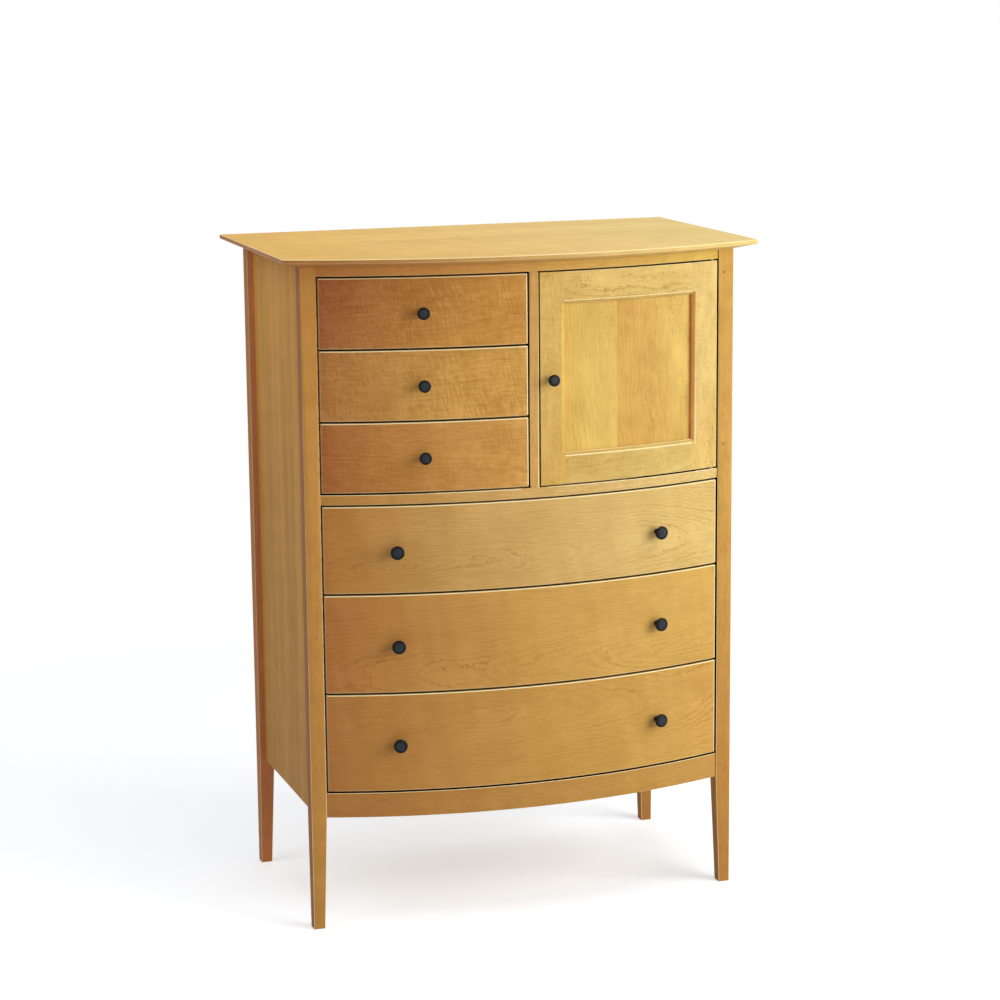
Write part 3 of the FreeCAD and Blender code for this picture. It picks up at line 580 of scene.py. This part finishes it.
def in_gap(face, tree):
    """True where another surface lies close in front of the face."""
    start = face.calc_center_median() + face.normal * touching * 2
    return tree.ray_cast(start, face.normal, gap_reach)[0] is not None


def painted_highlight_and_shade(face, name, mark, gaps):
    """How much painted highlight a face's rounded arris takes, and how much painted shade a face takes in a
    gap.
    """
    lip = face[mark] and any(other in gaps for side in face.edges for other in side.link_faces)
    faint = lip or face.normal.x < -left_facing or face.normal.z < -down_facing
    painted_gap_shade = 1.0 if face in gaps else lip_painted_shade if lip else 0.0
    return face[mark] * (faint_painted_highlight if faint else 1.0), painted_gap_shade * painted_gap_darkness(name)


def lay_grain(made, name, number, tree):
    """Writes each corner's place in its log, its stained tint and painted light, its painted arris highlight
    and its painted gap shade.
    """
    along, across, through = grain_axes(made, name)
    flat = unbent if name in bowed else Vector
    spread = [flat(vertex.co) for vertex in made.verts]
    low = Vector([min(point[i] for point in spread) for i in range(3)])
    high = Vector([max(point[i] for point in spread) for i in range(3)])
    count = staves.get(name, 1)
    width = (high[across] - low[across]) / count
    cut_staves(made, across, low, width, count)
    drawn = [draw_stave(name, number, stave, width) for stave in range(count)]
    common = stains_and_painted_light.get(f"{name} {number}", stains_and_painted_light.get(name, ((1, 1, 1), (1, 1, 1))))
    special = [(differs, ends) for names, differs, *ends in face_stains_and_painted_light if name in names]
    run = 0 if name == "door_panel" else along
    fades = name in bowed and along == 0
    mark = made.faces.layers.int["rounded"]
    gaps = {face for face in made.faces if not face[mark] and in_gap(face, tree)}
    grain, board, heart, stain_and_painted_light, edge = (made.loops.layers.float_vector.new(word)
                                        for word in ("grain", "board", "heart", "stain_and_painted_light", "edge"))
    for face in made.faces:
        middle = flat(face.calc_center_median())
        stave = min(count - 1, max(0, int((middle[across] - low[across]) / width)))
        seed, tone, drawn_heart = drawn[stave]
        centre_across = low[across] + (stave + 0.5) * width
        ends = next((ends for differs, ends in special if differs(face.normal)), common)
        first_end, last_end = map(Vector, ends)
        wear_and_painted_highlight, painted_gap_shade = painted_highlight_and_shade(face, name, mark, gaps)
        for loop in face.loops:
            point = flat(loop.vert.co)
            loop[grain] = (point[along] - (low[along] + high[along]) / 2, point[across] - centre_across,
                           point[through] - low[through])
            loop[board] = (seed, tones.get(name, tone), figures.get(name, 1.0))
            loop[heart] = hearts.get(name, drawn_heart)
            share = (point[run] - low[run]) / (high[run] - low[run])
            if fades:
                share *= 1 + stain_bend * (1 - share)
            loop[stain_and_painted_light] = first_end.lerp(last_end, share)
            loop[edge] = (wear_and_painted_highlight, painted_gap_shade, 0)
    made.faces.layers.int.remove(mark)


def plain_mesh(maker):
    """The evaluated mesh of an object, with its modifiers worked in; the object itself is deleted."""
    maker.data.update()
    bpy.context.view_layer.update()
    ready = maker.evaluated_get(bpy.context.evaluated_depsgraph_get())
    mesh = bpy.data.meshes.new_from_object(ready, preserve_all_data_layers=True,
                                           depsgraph=bpy.context.evaluated_depsgraph_get())
    bpy.data.objects.remove(maker)
    return mesh


def settle(mesh, name, body, slot, replaced=()):
    """Puts a finished mesh into the scene as a piece of the dresser."""
    mesh.materials.clear()
    mesh.materials.append(finishes[slot])
    mesh.name = name
    piece = bpy.data.objects.new(name, mesh)
    bpy.context.collection.objects.link(piece)
    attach(piece, body)
    if replaced:
        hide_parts(*replaced)
    return piece


def body_of_node(name):
    for prefix in ("small_drawer_", "wide_drawer_"):
        if name.startswith(prefix):
            return name[:len(prefix) + 1]
    moves = name.startswith("door_") and name != "door_stop"
    return "door" if moves else "case"


def make_boards():
    """Every wooden node again, with softened arrises and its grain laid in."""
    shells = shells_of_all()
    tree, owners = contact_tree(shells)
    by_node = {}
    for name, number, shell in shells:
        by_node.setdefault(name, []).append((number, shell))
    for name, parts in by_node.items():
        slot = nodes[name].data.materials[0].name
        if not slot.endswith("_wood") or name == "pegs":
            continue
        whole = bpy.data.meshes.new(name)
        merged = bmesh.new()
        for number, shell in parts:
            made = solid_mesh(shell)
            width = front_arris if name.endswith("_front") or name in framing else arris
            soften(made, (name, number), width, tree, owners)
            lay_grain(made, name, number, tree)
            made.to_mesh(whole)
            made.free()
            merged.from_mesh(whole)
        merged.to_mesh(whole)
        merged.free()
        whole.shade_smooth()
        maker = bpy.data.objects.new(name + "_maker", whole)
        bpy.context.collection.objects.link(maker)
        weighting = maker.modifiers.new("flats stay flat", "WEIGHTED_NORMAL")
        weighting.mode = "FACE_AREA_WITH_ANGLE"
        weighting.keep_sharp = True
        settle(plain_mesh(maker), name + "_board", body_of_node(name), slot, (name,))


make_boards()

# Outlines of turned pieces: place along the outline, radius and height as shares, and whether it turns
# sharply there
knob_outline_shares = [
    (0.0, 0.0, 0.0, True), (0.08, 0.42, 0.0, True), (0.14, 0.41, 0.08, False), (0.30, 0.38, 0.34, False),
    (0.46, 0.60, 0.54, False), (0.60, 0.92, 0.67, False), (0.70, 1.0, 0.81, False),
    (0.78, 0.94, 0.95, False), (0.84, 0.76, 0.99, True), (1.0, 0.0, 1.0, True)]
peg_outline_shares = [         # a straight shank, with a domed head a little proud of the post
    (0.0, 0.0, 0.0, True), (0.10, 1.0, 0.0, True), (0.70, 1.0, 0.955, True), (0.80, 0.90, 0.98, False),
    (0.90, 0.55, 0.995, False), (1.0, 0.0, 1.0, False)]
around = 48
outline_steps = 40
weld = 0.01 * MM
centring_rounds = 4


def turning_tree(name, outline):
    """Geometry Nodes that turn an outline on a lathe and set it on each seat, facing out."""
    group = bpy.data.node_groups.new(name, "GeometryNodeTree")
    inputs = {"Seats": "Geometry", "Radius": "Float", "Height": "Float", "Finish": "Material"}
    for word, kind in inputs.items():
        group.interface.new_socket(word, in_out="INPUT", socket_type="NodeSocket" + kind)
    group.interface.new_socket("Pieces", in_out="OUTPUT", socket_type="NodeSocketGeometry")
    t = Tree(group)
    entry = t.node("NodeGroupInput").socket.node
    seats, radius, height, finish = (Wire(t, entry.outputs[word]) for word in inputs)
    sheet = t.node("GeometryNodeMeshGrid", sockets={"Size X": 1.0, "Size Y": 1.0, "Vertices X": around + 1,
                                                    "Vertices Y": outline_steps + 1})
    place = t.node("GeometryNodeInputPosition")
    parts = t.node("ShaderNodeSeparateXYZ", sockets={0: place}).socket.node
    turn = (Wire(t, parts.outputs[0]) + 0.5) * math.tau
    share = Wire(t, parts.outputs[1]) + 0.5
    radii = [(at, radius_share, sharp) for at, radius_share, _, sharp in outline]
    heights = [(at, height_share, sharp) for at, _, height_share, sharp in outline]
    reach = t.node("ShaderNodeFloatCurve", {"outline": radii}, {"Value": share}) * radius
    rise = t.node("ShaderNodeFloatCurve", {"outline": heights}, {"Value": share}) * height
    spot = t.node("ShaderNodeCombineXYZ", sockets={0: reach * turn.math("COSINE", turn),
                                                   1: reach * turn.math("SINE", turn), 2: rise})
    marked = t.node("GeometryNodeStoreNamedAttribute", {"data_type": "FLOAT", "domain": "POINT"},
                    {"Geometry": sheet, "Name": "outline", "Value": share})
    turned = t.node("GeometryNodeSetPosition", sockets={"Geometry": marked, "Position": spot})
    turned = t.node("GeometryNodeMergeByDistance", sockets={"Geometry": turned, "Distance": weld})
    outward = t.node("GeometryNodeInputNamedAttribute", {"data_type": "FLOAT_VECTOR"}, {"Name": "outward"})
    facing = t.node("FunctionNodeAlignRotationToVector", {"axis": "Z"}, {"Vector": outward})
    placed = t.node("GeometryNodeInstanceOnPoints", sockets={"Points": seats, "Instance": turned,
                                                             "Rotation": facing})
    real = t.node("GeometryNodeRealizeInstances", sockets={"Geometry": placed})
    smooth = t.node("GeometryNodeSetShadeSmooth", sockets={"Geometry": real})
    dressed = t.node("GeometryNodeSetMaterial", sockets={"Geometry": smooth, "Material": finish})
    t.node("NodeGroupOutput", sockets={"Pieces": dressed})
    return group


def turned_pieces(group, name, seats, radius, height, body, slot, replaced=()):
    """Runs a turning tree on seats, each a place and an outward direction."""
    mesh = bpy.data.meshes.new(name)
    mesh.from_pydata([place for place, _ in seats], [], [])
    directions = mesh.attributes.new("outward", "FLOAT_VECTOR", "POINT")
    for item, (_, outward) in zip(directions.data, seats):
        item.vector = outward
    maker = bpy.data.objects.new(name + "_maker", mesh)
    bpy.context.collection.objects.link(maker)
    turning = maker.modifiers.new("turning", "NODES")
    turning.node_group = group
    values = {"Radius": radius, "Height": height, "Finish": finishes[slot]}
    for item in group.interface.items_tree:
        if item.in_out == "INPUT" and item.name in values:
            turning[item.identifier] = values[item.name]
    made = plain_mesh(maker)
    closed = bmesh.new()
    closed.from_mesh(made)
    bmesh.ops.recalc_face_normals(closed, faces=closed.faces)
    closed.to_mesh(made)
    closed.free()
    return settle(made, name, body, slot, replaced)


def outward_at(x):
    """Direction out of the bowed front."""
    return Vector((x, -math.sqrt(front_radius ** 2 - x ** 2), 0)).normalized()


def front_at(x, z):
    return Vector((x, bow_centre_y - math.sqrt(front_radius ** 2 - x ** 2), z))


def knob_seats(node):
    """Seat and direction of each knob of a CAD node, with the radius of its head and its length."""
    seats, head, length = [], 0, 0
    for shell in solids(nodes[node]):
        points = [Vector(point) for triangle in shell for point in triangle]
        head = (max(p.z for p in points) - min(p.z for p in points)) / 2
        z = max(p.z for p in points) - head
        x = (max(p.x for p in points) + min(p.x for p in points)) / 2
        for _ in range(centring_rounds):
            out = outward_at(x)
            sideways = Vector((-out.y, out.x, 0))
            across = [(p - front_at(x, z)).dot(sideways) for p in points]
            x += (max(across) + min(across)) / 2 * sideways.x
        length = max((p - front_at(x, z)).dot(out) for p in points)
        seats.append((front_at(x, z), out))
    return seats, head, length


def make_knobs():
    group = turning_tree("Turned knob", knob_outline_shares)
    for node in nodes:
        if node.endswith(("_knob", "_knobs")):
            seats, head, length = knob_seats(node)
            turned_pieces(group, node + "_turned", seats, head, length, body_of_node(node), "black_knob",
                          (node,))


make_knobs()


def solid_boxes(node):
    """Lowest and highest corner of each solid of a CAD node."""
    for shell in solids(nodes[node]):
        points = [point for triangle in shell for point in triangle]
        yield (Vector([min(p[i] for p in points) for i in range(3)]),
               Vector([max(p[i] for p in points) for i in range(3)]))


def make_pegs():
    group = turning_tree("Peg", peg_outline_shares)
    seats, radius, length = [], 0, 0
    for low, high in solid_boxes("pegs"):
        middle = (low + high) / 2
        seats.append((Vector((middle.x, high.y, middle.z)), Vector((0, -1, 0))))
        radius, length = (high.z - low.z) / 2, high.y - low.y
    turned_pieces(group, "pegs_turned", seats, radius, length, "case", "peg_wood", ("pegs",))


make_pegs()

# Metal nodes keep their solids
for name in ("top_screws", "shelf_pins", "hinge_case_leaves", "door_hinge_leaves", "door_catch"):
    kept = nodes[name]
    kept.data.materials[0] = finishes[kept.data.materials[0].name]


# Floor, surroundings, light and camera
floor_half_width = 30
shadow_reach = (0.9, 2.4)     # metres from the dresser's middle where the floor begins to turn white, and is


def shown(t):
    """1 for the rays that show the surroundings: the camera's, and those in gloss and glass."""
    path = t.node("ShaderNodeLightPath").socket.node
    camera, glossy, transmission = (Wire(t, path.outputs[f"Is {word} Ray"])
                                    for word in ("Camera", "Glossy", "Transmission"))
    return camera.math("MAXIMUM", camera, glossy.math("MAXIMUM", glossy, transmission))


def make_floor():
    """A wide white floor that keeps the dresser's soft shadow near its feet."""
    mesh = bpy.data.meshes.new("floor")
    half = floor_half_width
    corners = [(-half, -half, 0), (half, -half, 0), (half, half, 0), (-half, half, 0)]
    mesh.from_pydata(corners, [], [(0, 1, 2, 3)])
    floor = bpy.data.objects.new("floor", mesh)
    bpy.context.collection.objects.link(floor)
    f = Finish("floor_white")
    place = f.object_place()
    x, y, _ = f.split(place)
    far = f.step((x ** 2 + y ** 2) ** 0.5, *shadow_reach)
    speck = f.noise(place, (40, 40, 40), detail=2.0)
    white_paint = f.mixed(speck, srgb(226, 226, 226), srgb(232, 232, 232))
    paint = f.node("ShaderNodeBsdfDiffuse", sockets={"Color": white_paint})
    shade = f.node("ShaderNodeBsdfDiffuse", sockets={"Color": srgb(242, 247, 253)})
    glow = f.node("ShaderNodeEmission", sockets={"Color": srgb(250, 252, 255), "Strength": 0.50})
    near = f.node("ShaderNodeAddShader", sockets={0: shade, 1: glow})
    white = f.node("ShaderNodeEmission", sockets={"Strength": 1.0})
    view = f.node("ShaderNodeMixShader", sockets={0: far, 1: near, 2: white})
    both = f.node("ShaderNodeMixShader", sockets={0: shown(f), 1: paint, 2: view})
    f.node("ShaderNodeOutputMaterial", sockets={"Surface": both})
    mesh.materials.append(f.material)


world_light = 0.08
lamp_aim = Vector((0, -0.1, 0.75))

# Name, degrees to the right of the front and above level, metres away, metres across, watts
lamps = [
    ("key_light", 49, 18, 4.6, 3.2, 163),
    ("front_light", 15, 8, 4.4, 2.4, 25),
    ("left_light", -90, 40, 3.4, 2.4, 27),
    ("top_light", 10, 78, 4.0, 2.6, 54),
    ("back_light", 172, 62, 4.2, 2.6, 30),
]


def make_world():
    world = bpy.data.worlds.new("studio")
    bpy.context.scene.world = world
    world.use_nodes = True
    t = Tree(world.node_tree)
    t.tree.nodes.clear()
    dim = t.node("ShaderNodeBackground", sockets={"Color": srgb(255, 250, 244), "Strength": world_light})
    white = t.node("ShaderNodeBackground", sockets={"Color": (1, 1, 1, 1), "Strength": 1.0})
    mixed = t.node("ShaderNodeMixShader", sockets={0: shown(t), 1: dim, 2: white})
    t.node("ShaderNodeOutputWorld", sockets={"Surface": mixed})


def softbox(name, azimuth, elevation, distance, size, power):
    """A square lamp that faces the dresser."""
    aside, above = math.radians(azimuth), math.radians(elevation)
    out = Vector((math.sin(aside) * math.cos(above), -math.cos(aside) * math.cos(above), math.sin(above)))
    light = bpy.data.lights.new(name, "AREA")
    light.shape = "SQUARE"
    light.size = size
    light.energy = power
    box = bpy.data.objects.new(name, light)
    bpy.context.collection.objects.link(box)
    box.location = lamp_aim + out * distance
    box.rotation_euler = (-out).to_track_quat("-Z", "Y").to_euler()
    box.visible_camera = False


camera_place = Vector((-1.7061, -5.2309, 1.8663))
camera_yaw = 0.3172
camera_pitch = -0.1924
camera_roll = -0.0093
sensor = 36.0
view_width = 0.3593       # of the frame, at one metre


def make_camera():
    """Camera at the photograph's place, turned by yaw, pitch and roll."""
    forward = Vector((math.sin(camera_yaw) * math.cos(camera_pitch),
                      math.cos(camera_yaw) * math.cos(camera_pitch), math.sin(camera_pitch)))
    level = forward.cross(Vector((0, 0, 1))).normalized()
    upright = level.cross(forward)
    right = level * math.cos(camera_roll) + upright * math.sin(camera_roll)
    above = upright * math.cos(camera_roll) - level * math.sin(camera_roll)
    data = bpy.data.cameras.new("camera")
    data.sensor_width = sensor
    data.lens = sensor / view_width
    camera = bpy.data.objects.new("camera", data)
    bpy.context.collection.objects.link(camera)
    turn = Matrix((right, above, -forward)).transposed().to_4x4()
    camera.matrix_world = Matrix.Translation(camera_place) @ turn
    bpy.context.scene.camera = camera


make_floor()
make_world()
for lamp in lamps:
    softbox(*lamp)
make_camera()
bpy.context.scene.view_settings.view_transform = "Standard"
